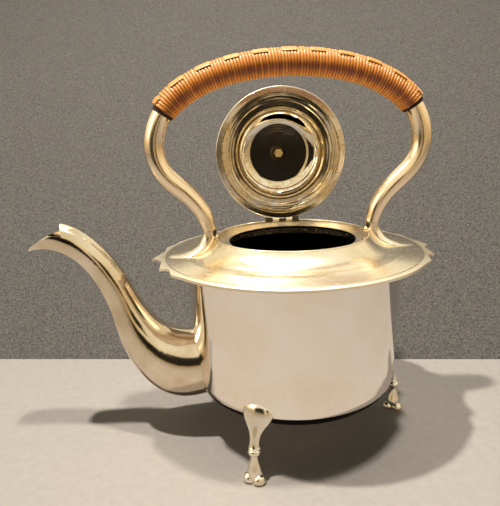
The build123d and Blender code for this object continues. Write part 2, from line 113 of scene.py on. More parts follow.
def axis_distance(tree: NodeTree, place: NodeSocket, across: tuple[int, int] = (0, 1)) -> NodeSocket:
    """Measure how far a point is from an axis through the origin.

    Args:
        tree: The node tree.
        place: The point's coordinates.
        across: The numbers of the two coordinates square to the axis.

    Returns:
        The distance, in metres.
    """
    parts = add_node(tree, "ShaderNodeSeparateXYZ", {0: place}).outputs
    flat = add_node(tree, "ShaderNodeCombineXYZ", {0: parts[across[0]], 1: parts[across[1]]}).outputs[0]
    return add_node(tree, "ShaderNodeVectorMath", {0: flat}, operation="LENGTH").outputs["Value"]


def ring_mesh(name: str, points: np.ndarray) -> Mesh:
    """Make a mesh from a row of closed rings of points, with quads between neighbours.

    Args:
        name: The mesh's name.
        points: Array of shape (rings, points in a ring, 3), in metres.

    Returns:
        The mesh, shaded smooth.
    """
    rows, columns = points.shape[:2]
    index = np.arange(rows * columns).reshape(rows, columns)
    whole = np.concatenate([index, index[:, :1]], axis=1)
    quads = np.stack([whole[:-1, :-1], whole[1:, :-1], whole[1:, 1:], whole[:-1, 1:]], axis=-1).reshape(-1, 4)
    mesh = bpy.data.meshes.new(name)
    mesh.vertices.add(rows * columns)
    mesh.vertices.foreach_set("co", points.reshape(-1).astype(np.float32))
    mesh.loops.add(quads.size)
    mesh.loops.foreach_set("vertex_index", quads.reshape(-1).astype(np.int32))
    mesh.polygons.add(len(quads))
    mesh.polygons.foreach_set("loop_start", np.arange(0, quads.size, 4, dtype=np.int32))
    mesh.polygons.foreach_set("use_smooth", np.ones(len(quads), dtype=bool))
    mesh.update(calc_edges=True)
    mesh.validate()
    return mesh


def point_attribute(mesh: Mesh, name: str, values: np.ndarray) -> None:
    """Store one number per vertex under a name that materials can read."""
    held = mesh.attributes.new(name, "FLOAT", "POINT")
    held.data.foreach_set("value", values.reshape(-1).astype(np.float32))


def place_piece(name: str, mesh: Mesh, material: Material, body: str,
                stands_for: tuple[str, ...]) -> Object:
    """Put a mesh into the scene as a piece of the object.

    Args:
        name: The piece's name.
        mesh: Its mesh, already in place.
        material: Its finish.
        body: The CAD body that it rides on.
        stands_for: CAD nodes that it replaces.

    Returns:
        The new object.
    """
    piece = bpy.data.objects.new(name, mesh)
    bpy.context.scene.collection.objects.link(piece)
    mesh.materials.append(material)
    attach(piece, body)
    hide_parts(*stands_for)
    return piece


def dress(node_name: str, material: Material) -> None:
    """Give a CAD node a finish in every one of its material slots.

    Args:
        node_name: The node.
        material: Its finish.
    """
    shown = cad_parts[node_name]
    for place in shown.material_slots:
        place.material = material
    if not shown.material_slots:
        shown.data.materials.append(material)


# ------------------------------------------------------------------ finishes
@dataclass(frozen=True)
class InnerWall:
    """Where a vessel's darkened inside begins: nearer the axis than a cone, and above a floor, in millimetres."""

    radius: float
    slope: float = 0.0
    radius_at_z: float = 37.5
    floor_z: float = 24.6


class Lining(Enum):
    """Which part of a sheet lies inside the vessel: scale there, darkened to near black as painted shade."""

    NONE = None
    BOWL = InnerWall(57.0, slope=0.0563)
    MOUTH = InnerWall(35.7)


@dataclass(frozen=True)
class Turning:
    """Relief that the lathe leaves about one axis: a profile by radius, with fine spun lines over it.

    The eye sees rings that catch the light one after another. Lengths are in millimetres.
    """

    centre: tuple[float, float, float]
    across: tuple[int, int]
    profile: tuple[tuple[float, float], ...]
    worn_from: float = 200.0
    worn_gloss: float = 0.38
    span: float = 100.0
    depth: float = 6.0
    line_mm: float = 1.7  # real lathe lines are finer; these are as coarse as needed to show
    line_depth_mm: float = 0.0015

    def radius(self, tree: NodeTree, place: NodeSocket) -> NodeSocket:
        """Measure the distance from the lathe's axis, in metres."""
        moved = add_node(tree, "ShaderNodeVectorMath", {0: place, 1: tuple(c * MM for c in self.centre)},
                         operation="SUBTRACT").outputs[0]
        return axis_distance(tree, moved, self.across)

    def worn(self, tree: NodeTree, place: NodeSocket, rough: NodeSocket) -> NodeSocket:
        """Dull the metal beyond the worn radius, as on a handled rim.

        Args:
            tree: The node tree.
            place: Object coordinates.
            rough: The roughness so far.

        Returns:
            The roughness with the rim's own.
        """
        rim = add_node(tree, "ShaderNodeMath", {0: self.radius(tree, place), 1: self.worn_from * MM},
                       operation="GREATER_THAN").outputs[0]
        return add_node(tree, "ShaderNodeMix", {"Factor": rim, "A": rough, "B": self.worn_gloss}).outputs["Result"]

    def relief(self, tree: NodeTree, place: NodeSocket, normal: NodeSocket) -> NodeSocket:
        """Lay the rings over a normal.

        Height = profile(radius) + line depth . sin(2 pi radius / line pitch).

        Args:
            tree: The node tree.
            place: Object coordinates.
            normal: The normal so far.

        Returns:
            The bumped normal.
        """
        radius = self.radius(tree, place)
        share = add_node(tree, "ShaderNodeMath", {0: radius, 1: 1 / (self.span * MM)}, operation="MULTIPLY").outputs[0]
        curve = add_node(tree, "ShaderNodeFloatCurve", {"Value": share})
        points = curve.mapping.curves[0].points
        points[0].location = (0.0, self.profile[0][1] / self.depth)
        points[1].location = (1.0, self.profile[-1][1] / self.depth)
        for distance, height in self.profile:
            points.new(distance / self.span, height / self.depth).handle_type = "VECTOR"
        curve.mapping.update()
        phase = add_node(tree, "ShaderNodeMath", {0: radius, 1: 2 * math.pi / (self.line_mm * MM)},
                         operation="MULTIPLY").outputs[0]
        lines = add_node(tree, "ShaderNodeMath", {0: phase}, operation="SINE").outputs[0]
        fine = add_node(tree, "ShaderNodeMath", {0: lines, 1: self.line_depth_mm / self.depth, 2: curve.outputs[0]},
                        operation="MULTIPLY_ADD").outputs[0]
        return add_node(tree, "ShaderNodeBump", {"Height": fine, "Strength": 1.0, "Distance": self.depth * MM,
                                                 "Normal": normal}).outputs[0]


@dataclass(frozen=True)
class SilverPlate:
    """Electroplated nickel silver, spun and hand polished.

    The eye sees a near mirror, a shade warmer than chrome, with soft waves from the raising hammer,
    hair-fine polishing swirls and a faint yellow bloom where polish has not reached.
    """

    name: str
    silver: str = "#EDE6DA"
    bloom: str = "#D8BE8A"
    gloss: float = 0.075
    wave_mm: float = 22.0
    wave_depth_mm: float = 0.05
    swirl_mm: float = 2.1  # coarsest of the swirls; real ones are finer, and these are as coarse as needed to show
    bloom_mm: float = 30.0
    bloom_share: float = 0.35
    stained_towards: tuple[float, float, float] | None = None
    mark_stops: tuple[tuple[float, str], ...] = ((0.47, "#FFFFFF"), (0.48, "#DCCFAE"), (0.5, "#FDFAF0"),
                                                 (0.57, "#FBF6E8"), (0.58, "#D8CAA6"), (0.6, "#FFFFFF"))
    lining: Lining = Lining.NONE
    # the inside's colour: real scale, darkened to near black as painted shade in the hollow
    scale_and_shade: str = "#15110D"
    scale_and_shade_gloss: float = 0.7
    turning: Turning | None = None

    def build(self) -> Material:
        """Build the material.

        Returns:
            Principled metal whose colour and roughness vary with two noises and whose bump adds the waves.
        """
        material, tree = new_material(self.name)
        place = add_node(tree, "ShaderNodeTexCoord").outputs["Object"]
        waves = add_node(tree, "ShaderNodeTexNoise",
                         {"Vector": place, "Scale": 1000 / self.wave_mm, "Detail": 1.0, "Roughness": 0.4})
        swirls = add_node(tree, "ShaderNodeTexNoise",
                          {"Vector": place, "Scale": 1000 / self.swirl_mm, "Detail": 5.0, "Roughness": 0.75})
        patches = add_node(tree, "ShaderNodeTexNoise",
                           {"Vector": place, "Scale": 1000 / self.bloom_mm, "Detail": 6.0, "Roughness": 0.6})
        share = add_node(tree, "ShaderNodeMapRange",
                         {"Value": patches.outputs[0], "From Min": 0.42, "From Max": 0.75,
                          "To Min": 0.0, "To Max": self.bloom_share})
        colour = add_node(tree, "ShaderNodeMix",
                          {"Factor": share.outputs[0], "A": linear(self.silver), "B": linear(self.bloom)},
                          data_type="RGBA").outputs["Result"]
        rough = add_node(tree, "ShaderNodeMapRange",
                         {"Value": swirls.outputs[0], "From Min": 0.3, "From Max": 0.7,
                          "To Min": self.gloss * 0.85, "To Max": self.gloss * 1.2}).outputs[0]
        wavy = add_node(tree, "ShaderNodeBump",
                        {"Height": waves.outputs[0], "Strength": 1.0, "Distance": self.wave_depth_mm * MM}).outputs[0]
        if self.stained_towards:
            colour = self.water_marks(tree, place, patches.outputs[0], colour)
        if self.turning:
            wavy = self.turning.relief(tree, place, wavy)
            rough = self.turning.worn(tree, place, rough)
        if self.lining is not Lining.NONE:
            colour, rough = self.darken_inside(tree, place, colour, rough)
        shader = add_node(tree, "ShaderNodeBsdfPrincipled",
                          {"Base Color": colour, "Roughness": rough, "Normal": wavy, "Metallic": 1.0})
        add_node(tree, "ShaderNodeOutputMaterial", {"Surface": shader.outputs[0]})
        return material

    def water_marks(self, tree: NodeTree, place: NodeSocket, patches: NodeSocket, colour: NodeSocket) -> NodeSocket:
        """Draw the thin brown edges that dried water leaves: contour lines of the patch noise.

        They lie on the side that faces the point, where normal . (place - point) < 0.

        Args:
            tree: The node tree.
            place: Object coordinates.
            patches: The patch noise.
            colour: The metal's colour.

        Returns:
            The colour with the marks over it.
        """
        marks = add_node(tree, "ShaderNodeValToRGB", {0: patches}, stops=self.mark_stops).outputs["Color"]
        away = add_node(tree, "ShaderNodeVectorMath", {0: place, 1: tuple(c * MM for c in self.stained_towards)},
                        operation="SUBTRACT").outputs[0]
        facing = add_node(tree, "ShaderNodeTexCoord").outputs["Normal"]
        side = add_node(tree, "ShaderNodeVectorMath", {0: facing, 1: away}, operation="DOT_PRODUCT").outputs["Value"]
        inside = add_node(tree, "ShaderNodeMath", {0: side, 1: 0.0}, operation="LESS_THAN").outputs[0]
        return add_node(tree, "ShaderNodeMix", {"Factor": inside, "A": colour, "B": marks}, data_type="RGBA",
                        blend_type="MULTIPLY").outputs["Result"]

    def darken_inside(self, tree: NodeTree, place: NodeSocket, colour: NodeSocket,
                    rough: NodeSocket) -> tuple[NodeSocket, NodeSocket]:
        """Darken what lies inside the bowl's wall, or inside the edge of the mouth.

        The wall's middle is a cone: radius + slope . (z - radius_at_z). A point nearer the axis than that,
        and above the middle of the floor, is inside. The mouth's edge is a cylinder, with no slope.

        Args:
            tree: The node tree.
            place: Object coordinates.
            colour: The outside's colour.
            rough: The outside's roughness.

        Returns:
            Colour and roughness, mixed by the inside mask.
        """
        edge = self.lining.value
        foot = edge.radius * MM - edge.slope * edge.radius_at_z * MM
        height = add_node(tree, "ShaderNodeSeparateXYZ", {0: place}).outputs[2]
        wall = add_node(tree, "ShaderNodeMath", {0: height, 1: edge.slope, 2: foot},
                        operation="MULTIPLY_ADD").outputs[0]
        within = add_node(tree, "ShaderNodeMath", {0: axis_distance(tree, place), 1: wall},
                          operation="LESS_THAN").outputs[0]
        above = add_node(tree, "ShaderNodeMath", {0: height, 1: edge.floor_z * MM},
                         operation="GREATER_THAN").outputs[0]
        inside = add_node(tree, "ShaderNodeMath", {0: within, 1: above}, operation="MULTIPLY").outputs[0]
        # painted shade: inside the wall the metal takes the near-black colour, real scale made darker to stand for the
        # hollow's shade
        mixed = add_node(tree, "ShaderNodeMix", {"Factor": inside, "A": colour, "B": linear(self.scale_and_shade)},
                         data_type="RGBA").outputs["Result"]
        dull = add_node(tree, "ShaderNodeMix", {"Factor": inside, "A": rough, "B": self.scale_and_shade_gloss}).outputs["Result"]
        return mixed, dull


@dataclass(frozen=True)
class SplitCane:
    """Split rattan cane, wound damp and varnished.

    The eye sees narrow glossy straps, amber on top and brown in the grooves, with grain along each strap. The
    brown in the grooves is painted shade, and so is a darker band of tone low on each side of the grip.
    """

    name: str
    # painted shade: the colour in the grooves between straps and on the strand's sides
    groove_shade: str = "#5A2A0C"
    shade: str = "#96440E"
    amber: str = "#F2942A"
    pale: str = "#FFC464"
    grain_mm: float = 0.25
    grain_length_mm: float = 9.0
    grain_depth_mm: float = 0.06
    grain_share: float = 0.35

    def build(self) -> Material:
        """Build the material.

        Returns:
            Varnished wood whose colour follows the strap's own depth, tone and grain; low depth is painted shade in the
            grooves, and the tone carries a band of painted shade.
        """
        material, tree = new_material(self.name)
        depth = add_node(tree, "ShaderNodeAttribute", attribute_name="depth").outputs["Fac"]
        tone = add_node(tree, "ShaderNodeAttribute", attribute_name="tone").outputs["Fac"]
        strap = add_node(tree, "ShaderNodeUVMap", uv_map="strap").outputs[0]
        stretched = add_node(tree, "ShaderNodeMapping",
                             {"Vector": strap, "Scale": (1000 / self.grain_length_mm, 1000 / self.grain_mm, 1.0)})
        grain = add_node(tree, "ShaderNodeTexNoise",
                         {"Vector": stretched.outputs[0], "Scale": 1.0, "Detail": 4.0, "Roughness": 0.6})
        mixed = add_node(tree, "ShaderNodeMath", {0: grain.outputs[0], 1: self.grain_share, 2: tone},
                         operation="MULTIPLY_ADD")
        skin = add_node(tree, "ShaderNodeValToRGB", {0: mixed.outputs[0]},
                        stops=((0.1, self.shade), (0.5, self.amber), (1.0, self.pale))).outputs["Color"]
        # painted shade: the depth attribute pulls the grooves and the strand's sides towards the dark groove colour
        groove_shade_mask = add_node(tree, "ShaderNodeValToRGB", {0: depth},
                        stops=((0.0, "#000000"), (0.35, "#5A5A5A"), (0.6, "#C0C0C0"),
                               (0.85, "#FFFFFF"))).outputs["Color"]
        colour = add_node(tree, "ShaderNodeMix", {"Factor": groove_shade_mask, "A": linear(self.groove_shade), "B": skin},
                          data_type="RGBA")
        ridges = add_node(tree, "ShaderNodeBump",
                          {"Height": grain.outputs[0], "Strength": 0.35, "Distance": self.grain_depth_mm * MM})
        shader = add_node(tree, "ShaderNodeBsdfPrincipled",
                          {"Base Color": colour.outputs["Result"], "Roughness": 0.45, "Coat Weight": 0.35,
                           "Coat Roughness": 0.2, "Normal": ridges.outputs[0]})
        add_node(tree, "ShaderNodeOutputMaterial", {"Surface": shader.outputs[0]})
        return material


@dataclass(frozen=True)
class WaxedThread:
    """Black waxed linen thread, wound tight: nearly matt, with a soft sheen on each turn."""

    name: str
    colour: str = "#17110C"
    worn: str = "#3A2C20"
    fibre_mm: float = 0.8  # coarsest of the fibres
    fibre_depth_mm: float = 0.05

    def build(self) -> Material:
        """Build the material.

        Returns:
            Rough dark thread with lighter worn fibres.
        """
        material, tree = new_material(self.name)
        place = add_node(tree, "ShaderNodeTexCoord").outputs["Object"]
        fibre = add_node(tree, "ShaderNodeTexNoise",
                         {"Vector": place, "Scale": 1000 / self.fibre_mm, "Detail": 4.0}).outputs[0]
        colour = add_node(tree, "ShaderNodeValToRGB", {0: fibre},
                          stops=((0.35, self.colour), (0.75, self.worn))).outputs["Color"]
        fuzz = add_node(tree, "ShaderNodeBump",
                        {"Height": fibre, "Strength": 0.5, "Distance": self.fibre_depth_mm * MM})
        shader = add_node(tree, "ShaderNodeBsdfPrincipled",
                          {"Base Color": colour, "Roughness": 0.62, "Normal": fuzz.outputs[0]})
        add_node(tree, "ShaderNodeOutputMaterial", {"Surface": shader.outputs[0]})
        return material


@dataclass(frozen=True)
class EbonisedWood:
    """Pear wood turned and stained black, then waxed: deep brown-black with a soft gloss and faint grain."""

    name: str
    dark: str = "#0D0A08"
    grain: str = "#2A1C12"
    grain_mm: float = 1.2
    stretch: tuple[float, float, float] = (1.0, 0.15, 1.0)

    def build(self) -> Material:
        """Build the material.

        Returns:
            Dark waxed wood with grain drawn out along the knob's axis.
        """
        material, tree = new_material(self.name)
        place = add_node(tree, "ShaderNodeTexCoord").outputs["Object"]
        stretched = add_node(tree, "ShaderNodeMapping", {"Vector": place, "Scale": self.stretch})
        lines = add_node(tree, "ShaderNodeTexNoise",
                         {"Vector": stretched.outputs[0], "Scale": 1000 / self.grain_mm, "Detail": 3.0}).outputs[0]
        colour = add_node(tree, "ShaderNodeValToRGB", {0: lines},
                          stops=((0.4, self.dark), (0.8, self.grain))).outputs["Color"]
        shader = add_node(tree, "ShaderNodeBsdfPrincipled",
                          {"Base Color": colour, "Roughness": 0.38, "Coat Weight": 0.4, "Coat Roughness": 0.2})
        add_node(tree, "ShaderNodeOutputMaterial", {"Surface": shader.outputs[0]})
        return material


@dataclass(frozen=True)
class WornBrass:
    """Machined brass, dulled by steam: a brown-yellow metal with brighter rubbed patches."""

    name: str
    bright: str = "#F4E0AC"
    dull: str = "#B8965C"
    patch_mm: float = 1.5

    def build(self) -> Material:
        """Build the material.

        Returns:
            Metal that varies between bright and dull patches.
        """
        material, tree = new_material(self.name)
        place = add_node(tree, "ShaderNodeTexCoord").outputs["Object"]
        patches = add_node(tree, "ShaderNodeTexNoise",
                           {"Vector": place, "Scale": 1000 / self.patch_mm, "Detail": 3.0}).outputs[0]
        colour = add_node(tree, "ShaderNodeValToRGB", {0: patches},
                          stops=((0.3, self.dull), (0.65, self.bright))).outputs["Color"]
        rough = add_node(tree, "ShaderNodeMapRange", {"Value": patches, "To Min": 0.6, "To Max": 0.35}).outputs[0]
        shader = add_node(tree, "ShaderNodeBsdfPrincipled", {"Base Color": colour, "Roughness": rough, "Metallic": 1.0})
        add_node(tree, "ShaderNodeOutputMaterial", {"Surface": shader.outputs[0]})
        return material


@dataclass(frozen=True)
class StudioCloth:
    """Plain woven cloth over the table or the wall behind it: matt, with a very soft mottle."""

    name: str
    low: str
    high: str
    mottle_mm: float = 5.0
    one_sided: bool = False

    def build(self) -> Material:
        """Build the material.

        Returns:
            Matt cloth; a one-sided one lets everything through from behind.
        """
        material, tree = new_material(self.name)
        place = add_node(tree, "ShaderNodeTexCoord").outputs["Object"]
        mottle = add_node(tree, "ShaderNodeTexNoise",
                          {"Vector": place, "Scale": 1000 / self.mottle_mm, "Detail": 5.0, "Roughness": 0.7}).outputs[0]
        colour = add_node(tree, "ShaderNodeValToRGB", {0: mottle},
                          stops=((0.3, self.low), (0.7, self.high))).outputs["Color"]
        shader = add_node(tree, "ShaderNodeBsdfPrincipled", {"Base Color": colour, "Roughness": 0.9,
                                                             "Specular IOR Level": 0.2})
        surface = shader.outputs[0]
        if self.one_sided:
            behind = add_node(tree, "ShaderNodeNewGeometry").outputs["Backfacing"]
            clear = add_node(tree, "ShaderNodeBsdfTransparent").outputs[0]
            surface = add_node(tree, "ShaderNodeMixShader", {0: behind, 1: surface, 2: clear}).outputs[0]
        add_node(tree, "ShaderNodeOutputMaterial", {"Surface": surface})
        return material


# ------------------------------------------------------------------ the grip
def tangent_arc(start: np.ndarray, run: np.ndarray, end: np.ndarray, steps: int) -> tuple[np.ndarray, np.ndarray]:
    """Points of the arc that leaves a point along a direction and reaches another point.

    The centre lies on the normal at the start, at the signed radius |chord|^2 / (2 chord . normal); the arc
    then turns by twice the angle between the direction and the chord.

    Args:
        start: First point, in the plane.
        run: Unit direction at the start.
        end: Last point.
        steps: Number of points.

    Returns:
        The points and the unit direction at the end.
    """
    chord = end - start
    normal = np.array([-run[1], run[0]])
    radius = (chord @ chord) / (2 * (chord @ normal))
    centre = start + normal * radius
    turn = 2 * math.atan2(run[0] * chord[1] - run[1] * chord[0], run @ chord)
    angles = np.linspace(0, turn, steps)
    spoke = start - centre
    points = np.stack([centre[0] + spoke[0] * np.cos(angles) - spoke[1] * np.sin(angles),
                       centre[1] + spoke[0] * np.sin(angles) + spoke[1] * np.cos(angles)], axis=1)
    final = np.array([run[0] * math.cos(turn) - run[1] * math.sin(turn),
                      run[0] * math.sin(turn) + run[1] * math.cos(turn)])
    return points, final


@dataclass
class GripLine:
    """The handle's centreline under the cane, in the XZ plane, in millimetres."""

    crown: tuple[float, float] = (0.0, 208.6)
    haunch: tuple[float, float] = (34.0, 204.5)
    hip: tuple[float, float] = (59.8, 192.6)
    elbow: tuple[float, float] = (73.2, 168.5)
    wrap_beyond_hip: float = 10.0
    binding_width: float = 1.8
    spare: float = 1.0
    arc_steps: int = 400

    def half(self, beyond_hip: float) -> np.ndarray:
        """Follow the three arcs down the tail side.

        Args:
            beyond_hip: Distance past the hip at which the line stops.

        Returns:
            Points from the crown on, as an (n, 2) array.
        """
        steps = self.arc_steps
        first, run = tangent_arc(np.array(self.crown), np.array([1.0, 0.0]), np.array(self.haunch), steps)
        second, run = tangent_arc(np.array(self.haunch), run, np.array(self.hip), steps)
        third, run = tangent_arc(np.array(self.hip), run, np.array(self.elbow), 2 * steps)
        gone = np.concatenate([[0], np.cumsum(np.linalg.norm(np.diff(third, axis=0), axis=1))])
        third = third[gone <= beyond_hip]
        return np.concatenate([first, second[1:], third[1:]])

    def sampled(self, steps: int, start: float, stop: float) -> tuple[np.ndarray, np.ndarray, np.ndarray]:
        """Sample the line evenly between two distances from the crown.

        Args:
            steps: Number of points.
            start: Signed distance of the first point from the crown, negative on the spout side.
            stop: Signed distance of the last point.

        Returns:
            Distances, points and unit directions, both as (steps, 3) arrays, in millimetres.
        """
        half = self.half(self.wrap_beyond_hip + self.binding_width + self.spare)
        line = np.concatenate([half[:0:-1] * [-1, 1], half])
        gone = np.concatenate([[0], np.cumsum(np.linalg.norm(np.diff(line, axis=0), axis=1))])
        gone -= gone[len(half) - 1]
        wanted = np.linspace(start, stop, steps)
        x, z = (np.interp(wanted, gone, line[:, axis]) for axis in (0, 1))
        points = np.stack([x, np.zeros(steps), z], axis=1)
        run = np.gradient(points, axis=0)
        return wanted, points, run / np.linalg.norm(run, axis=1, keepdims=True)

    def wrap_end(self) -> float:
        """Distance from the crown to the end of the cane."""
        half = self.half(self.wrap_beyond_hip)
        return float(np.linalg.norm(np.diff(half, axis=0), axis=1).sum())


def around(points: np.ndarray, run: np.ndarray, angle: np.ndarray, radius: np.ndarray) -> np.ndarray:
    """Surface points round a line in the XZ plane: line + radius (cos a . outward - sin a . Y).

    Args:
        points: Line points, (steps, 3).
        run: Unit directions, (steps, 3).
        angle: Angles from the outward side, towards the front, (steps, columns).
        radius: Radii, (steps, columns).

    Returns:
        Array of shape (steps, columns, 3), in the line's units.
    """
    outward = np.stack([-run[:, 2], np.zeros(len(run)), run[:, 0]], axis=1)
    side = np.array([0.0, -1.0, 0.0])
    swing = np.cos(angle)[..., None] * outward[:, None, :] + np.sin(angle)[..., None] * side
    return points[:, None, :] + radius[..., None] * swing


def apart(angle: np.ndarray, middle: float = 0.0) -> np.ndarray:
    """How far angles lie from a middle one, the short way round."""
    return np.abs(np.mod(angle - middle + np.pi, 2 * np.pi) - np.pi)


@dataclass
class CaneGrip:
    """Cane wound round the handle, the flat strand woven along its top and the thread at its ends.

    Lengths are in millimetres, angles in radians from the outward side, and tones and shades are shares.
    """

    line: GripLine
    radius: float = 7.1
    strap_pitch: float = 1.62
    strap_thickness: float = 0.75
    strap_powers: tuple[float, float] = (3.2, 0.6)
    strap_unevenness: float = 0.07
    strap_end_radius: float = 5.3
    strap_end_length: float = 0.4
    rows_per_turn: int = 10
    columns: int = 56
    strand_angle: float = 0.2
    strand_half_angle: float = 0.6
    strand_half_width: float = 4.0
    strand_half_thickness: float = 0.28
    strand_powers: tuple[float, float] = (0.45, 0.8)
    strand_edge_drop: float = 0.12
    # painted shade: the depth left at the strand's sides, lower is darker
    strand_edge_shade: float = 0.25
    strand_end_gap: float = 0.8
    strand_lift: float = 1.0
    strand_grid: tuple[int, int] = (900, 20)
    over_turns: float = 6.0
    period_turns: float = 9.0
    change_turns: float = 0.9
    crossing_rise: float = 0.375
    crossing_press: float = 0.25
    crossing_sharpness: float = 14.0
    strap_tone: float = 0.5
    strap_tone_spread: float = 0.07
    tone_limits: tuple[float, float] = (-0.1, 0.9)
    strand_tone: float = 0.55
    # painted shadow: how much darker the straps are beside the strand where it lies on top, and how wide
    strand_shadow: float = 0.75
    strand_shadow_angle: float = 0.09
    # painted shade: a darker band of tone low on each side of the grip, where the lit top turns to shade
    painted_shade_band: float = 0.5
    painted_shade_angle: float = 1.95
    painted_shade_half_angle: float = 0.5
    thread_pitch: float = 0.45
    thread_bed: float = 5.75
    thread_height: float = 0.35
    thread_power: float = 0.7
    thread_end_radius: float = 5.2
    thread_end_length: float = 0.1
    thread_grid: int = 64

    def lift(self, distance: np.ndarray) -> np.ndarray:
        """Say how far the strand lies on top of the straps.

        A square wave over the turns, softened by a cosine at each change.

        Args:
            distance: Distances from the crown.

        Returns:
            1 where it lies on top, 0 where it lies beneath.
        """
        turns = distance / self.strap_pitch + self.over_turns / 2
        place = np.mod(turns, self.period_turns)
        rise = np.clip(place / self.change_turns, 0, 1)
        fall = np.clip((self.over_turns - place) / self.change_turns, 0, 1)
        return (1 - np.cos(np.pi * np.minimum(rise, fall))) / 2

    def wound_straps(self, material: Material) -> Object:
        """Build the wound straps as one surface over distance and angle.

        The turn number is distance / pitch - angle / 2 pi. Its fraction f runs across one strap, whose crown is
        thickness (1 - |2 f - 1|^p)^q; each turn also has a small random height, and it rises where it
        crosses over the strand. The tone is darker, by a bell curve of the angle, in a band of painted shade low on
        each side, where the lit top turns to shade, and the groove is darker, by a narrower one, as a painted
        shadow along the strand's edges where it lies on top.

        Args:
            material: The cane's finish.

        Returns:
            The piece.
        """
        rng = np.random.default_rng(SEED)
        end = self.line.wrap_end()
        steps = int(2 * end / self.strap_pitch * self.rows_per_turn)
        distance, points, run = self.line.sampled(steps, -end, end)
        angle = np.linspace(0, 2 * np.pi, self.columns, endpoint=False)
        turn = distance[:, None] / self.strap_pitch - angle[None, :] / (2 * np.pi)
        whole = np.floor(turn).astype(int)
        whole -= whole.min()
        share = turn - np.floor(turn)
        crown = (1 - np.abs(2 * share - 1) ** self.strap_powers[0]) ** self.strap_powers[1]
        offset = rng.normal(0, self.strap_unevenness, whole.max() + 1)[whole]
        away = apart(angle, self.strand_angle) - self.strand_half_angle
        near = 1 / (1 + np.exp(away * self.crossing_sharpness))
        over = (1 - self.lift(distance))[:, None] * near[None, :]
        under = self.lift(distance)[:, None] * near[None, :]
        radius = (self.radius - self.strap_thickness + self.strap_thickness * crown + offset
                  + self.crossing_rise * over - self.crossing_press * under)
        close = np.clip((end - np.abs(distance)) / self.strap_end_length, 0, 1)[:, None] ** 0.5
        radius = self.strap_end_radius + (radius - self.strap_end_radius) * close
        mesh = ring_mesh("cane_straps", around(points, run, np.broadcast_to(angle, radius.shape), radius) * MM)
        # painted shadow: darkens the straps' depth beside the strand where it lies on top of them
        strand_shadow_weight = np.exp(-(away / self.strand_shadow_angle) ** 2)
        point_attribute(mesh, "depth", crown * close * (1 - self.strand_shadow * under * strand_shadow_weight))
        # painted shade: a bell curve of the angle that darkens the tone low on each side, where the lit top turns to
        # shade
        held = np.exp(-((apart(angle) - self.painted_shade_angle) / self.painted_shade_half_angle) ** 2)
        tone = (self.strap_tone + rng.normal(0, self.strap_tone_spread, whole.max() + 1)[whole]
                - self.painted_shade_band * held[None, :])
        point_attribute(mesh, "tone", np.clip(tone, *self.tone_limits))
        self.strap_map(mesh, turn * 2 * np.pi * self.radius, share * self.strap_pitch)
        return place_piece("cane_straps", mesh, material, "kettle", ("cane_wrap",))

    def strap_map(self, mesh: Mesh, along: np.ndarray, across: np.ndarray) -> None:
        """Store distances along and across a strap as a UV map, in metres.

        Args:
            mesh: The strap's mesh.
            along: Distance along it at each vertex, in millimetres.
            across: Distance across it.
        """
        held = mesh.uv_layers.new(name="strap")
        corner = np.empty(len(mesh.loops), dtype=np.int32)
        mesh.loops.foreach_get("vertex_index", corner)
        pairs = np.stack([along.reshape(-1), across.reshape(-1)], axis=1)[corner] * MM
        held.data.foreach_set("uv", pairs.reshape(-1).astype(np.float32))

    def woven_strand(self, material: Material) -> Object:
        """Build the flat strand that passes over and under the straps.

        Its section is a flat oval bent round the grip: angle = middle + half width c, radius = base + half
        thickness s - edge drop c^4, with c and s the rounded cosine and sine of the section's own angle.

        Args:
            material: The cane's finish.

        Returns:
            The piece.
        """
        end = self.line.wrap_end() - self.strand_end_gap
        steps, around_section = self.strand_grid
        distance, points, run = self.line.sampled(steps, -end, end)
        section = np.linspace(0, 2 * np.pi, around_section, endpoint=False)
        wide = np.sign(np.cos(section)) * np.abs(np.cos(section)) ** self.strand_powers[0]
        thick = np.sign(np.sin(section)) * np.abs(np.sin(section)) ** self.strand_powers[1]
        base = self.radius - self.strap_thickness + self.strand_lift * self.lift(distance)
        angle = self.strand_angle + self.strand_half_angle * np.broadcast_to(wide, (steps, len(section)))
        radius = (base[:, None] + self.strand_half_thickness * thick[None, :]
                  - self.strand_edge_drop * wide[None, :] ** 4)
        mesh = ring_mesh("cane_top_strand", around(points, run, angle, radius) * MM)
        # painted shade: the strand's sides and underside take the dark groove colour
        depth = np.clip(self.strand_edge_shade + (1 - self.strand_edge_shade) * thick, 0, 1)
        point_attribute(mesh, "depth", np.broadcast_to(depth, radius.shape))
        point_attribute(mesh, "tone", np.full(radius.shape, self.strand_tone))
        self.strap_map(mesh, np.broadcast_to(distance[:, None], radius.shape),
                       np.broadcast_to(wide * self.strand_half_width, radius.shape))
        return place_piece("cane_top_strand", mesh, material, "kettle", ("cane_strand",))

